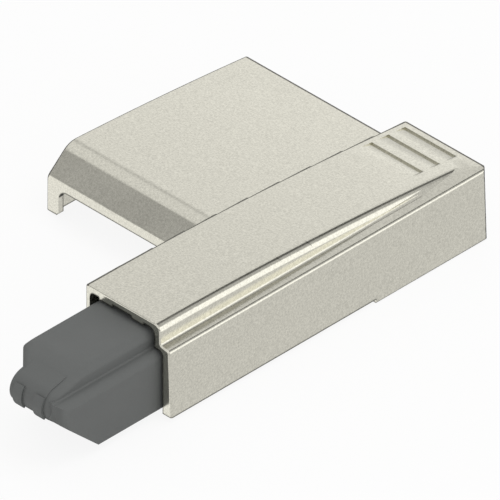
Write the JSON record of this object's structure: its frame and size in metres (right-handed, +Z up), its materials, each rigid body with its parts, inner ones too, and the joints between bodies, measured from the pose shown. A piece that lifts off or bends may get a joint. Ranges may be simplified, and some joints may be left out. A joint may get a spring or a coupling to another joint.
{
  "type": "soft close damper",
  "caption": "Clip-on soft-close damper for a cabinet hinge: cast metal bar, side wing that sits over the hinge arm, and a grey plunger that the closing door pushes in.",
  "frame": {"origin": "middle of the whole part's footprint, on the plane that the part lies on, with the plunger fully out", "axes": "+Y from the plunger's nose towards the bar's rear, +Z up through the bar's cambered top, +X towards the bar, so the wing is on the -X side"},
  "size_m": [0.0388, 0.0666, 0.0122],
  "materials": {
    "nickel_casting": "satin nickel plate on a zinc casting",
    "grey_plastic": "matte moulded",
    "black_plastic": "matte moulded",
    "white_plastic": "matte moulded",
    "steel": "ground",
    "spring_steel": "drawn wire and strip",
    "seal_rubber": "moulded"
  },
  "bodies": {
    "housing": {"housing": "nickel_casting", "base_cover": "grey_plastic", "piston_rod": "steel", "rod_clip": "spring_steel", "rear_spring_seat": "white_plastic", "piston": "white_plastic", "piston_ring": "white_plastic", "throttle_disc": "spring_steel", "piston_nut": "steel", "return_spring": "spring_steel"},
    "plunger": {"plunger": "grey_plastic", "damper_cylinder": "black_plastic", "cylinder_end_cap": "white_plastic", "cap_o_ring": "seal_rubber", "rod_seal": "seal_rubber", "rod_bush": "white_plastic", "seal_retainer": "white_plastic", "front_spring_seat": "white_plastic", "compensator_spring": "spring_steel"},
    "compensator": {"compensator_piston": "white_plastic", "compensator_seal": "seal_rubber"}
  },
  "joints": [
    {"name": "plunger_slide", "type": "slide", "parent": "housing", "child": "plunger", "axis": [0, 1, 0], "range_m": [0, 0.01], "stiffness_N_per_m": 450, "springref_m": -0.002, "deforming": ["return_spring"]},
    {"name": "compensator_slide", "type": "slide", "parent": "plunger", "child": "compensator", "axis": [0, 1, 0], "range_m": [-0.00104, 0], "deforming": ["compensator_spring"]}
  ],
  "couplings": [
    {"joint": "compensator_slide", "follows": "plunger_slide", "ratio": -0.1033}
  ]
}
